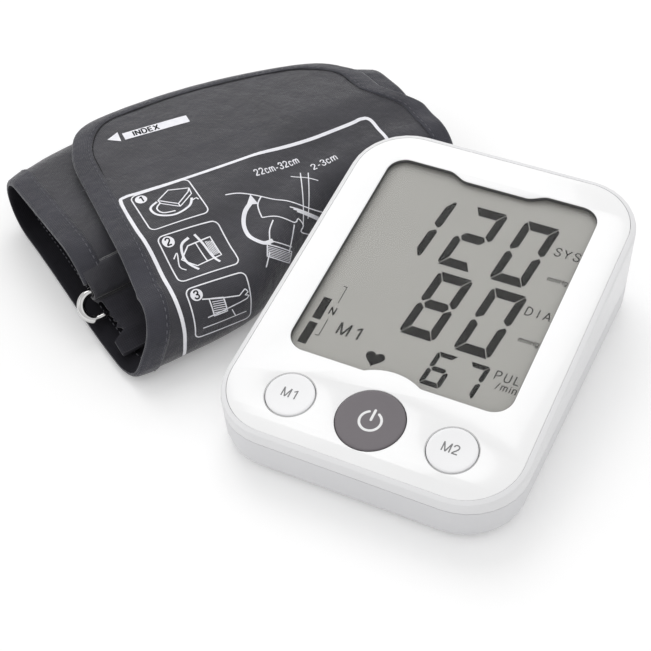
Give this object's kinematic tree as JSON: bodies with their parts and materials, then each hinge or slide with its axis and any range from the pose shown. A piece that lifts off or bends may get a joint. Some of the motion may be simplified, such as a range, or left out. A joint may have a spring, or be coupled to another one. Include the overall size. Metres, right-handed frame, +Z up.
{
  "type": "blood pressure monitor",
  "caption": "Desk monitor with large display, three keys and sockets, beside its rolled upper-arm cuff with a steel loop and stitched binding.",
  "frame": {"origin": "on the table, under the middle of the monitor's face", "axes": "+X to the right of the display, +Y towards the top edge of the display, +Z up from the table"},
  "size_m": [0.2297, 0.1901, 0.04],
  "materials": {
    "cover_white": "satin moulded shell",
    "cover_grey": "satin moulded shell, fine grain",
    "faceplate": "glossy white sheet",
    "window": "clear acrylic",
    "lcd": "grey display glass",
    "reflector": "white film",
    "inner_white": "moulded, matt",
    "zebra": "striped contact rubber",
    "board": "glass-fibre board, solder mask",
    "chip": "moulded black",
    "sensor": "moulded, light",
    "switch": "pressed sheet",
    "plunger": "moulded black",
    "power_key": "moulded grey-mauve, satin",
    "memory_key": "moulded white, satin",
    "socket_grey": "moulded light grey",
    "socket_black": "moulded black",
    "manifold": "moulded, matt",
    "tube": "soft clear-grey tube",
    "pump": "moulded black",
    "motor": "drawn steel can",
    "cradle": "soft foam rubber",
    "valve": "steel can",
    "cell": "wrapped cell, satin",
    "contact": "plated spring steel",
    "door": "satin moulded shell",
    "foot": "soft rubber",
    "screw": "zinc plated",
    "fabric": "woven nylon, coated, dark grey",
    "lining": "woven nylon, near black",
    "bladder": "welded film",
    "binding": "woven tape, stitched",
    "hook": "hook tape",
    "loops": "napped loop tape",
    "inlet": "moulded dark grey",
    "steel": "polished bent wire"
  },
  "bodies": {
    "monitor": {"front_cover": "cover_white", "rear_cover": "cover_grey", "faceplate": "faceplate", "display_window": "window", "lcd_panel": "lcd", "lcd_reflector": "reflector", "lcd_frame": "inner_white", "zebra_strip": "zebra", "main_board": "board", "controller_chip": "chip", "buzzer": "chip", "pressure_sensor": "sensor", "tact_switches": "switch", "air_socket": "socket_grey", "dc_socket": "socket_black", "tee_manifold": "manifold", "socket_tube": "tube", "pump_tube": "tube", "valve_tube": "tube", "sensor_tube": "tube", "air_pump": "pump", "pump_motor": "motor", "pump_cradle": "cradle", "deflation_valve": "valve", "battery_cells": "cell", "battery_contacts": "contact", "battery_springs": "contact", "rubber_feet": "foot", "case_screws": "screw", "board_screws": "screw"},
    "power_key": {"power_button": "power_key", "power_plunger": "plunger"},
    "memory_1_key": {"memory_1_button": "memory_key", "memory_1_plunger": "plunger"},
    "memory_2_key": {"memory_2_button": "memory_key", "memory_2_plunger": "plunger"},
    "door": {"battery_door": "door"},
    "cuff": {"loop_end_panel": "fabric", "cuff_fabric": "fabric", "flap_panel": "fabric", "body_binding": "binding", "cuff_lining": "lining", "air_bladder": "bladder", "cuff_binding": "binding", "hook_patch": "hook", "loop_patch": "loops", "hose_inlet": "inlet", "ring_sleeve": "binding"},
    "loop": {"steel_loop": "steel"}
  },
  "joints": [
    {"name": "power_key_press", "type": "slide", "parent": "monitor", "child": "power_key", "axis": [0, 0.1564, -0.9877], "range_m": [0, 0.0006], "stiffness_N_per_m": 800},
    {"name": "memory_1_key_press", "type": "slide", "parent": "monitor", "child": "memory_1_key", "axis": [0, 0.1564, -0.9877], "range_m": [0, 0.0006], "stiffness_N_per_m": 800},
    {"name": "memory_2_key_press", "type": "slide", "parent": "monitor", "child": "memory_2_key", "axis": [0, 0.1564, -0.9877], "range_m": [0, 0.0006], "stiffness_N_per_m": 800},
    {"name": "battery_door_slide", "type": "slide", "parent": "monitor", "child": "door", "axis": [0, 1, 0], "range_m": [0, 0.02]},
    {"name": "cuff_lift", "type": "slide", "parent": "monitor", "child": "cuff", "axis": [0, 0, 1], "range_m": [0, 0.12]},
    {"name": "loop_swing", "type": "hinge", "parent": "cuff", "child": "loop", "pos_m": [-0.11736, -0.03166, 0.01498], "axis": [0.4648, 0.8854, 0], "range_deg": [-8, 8]}
  ]
}
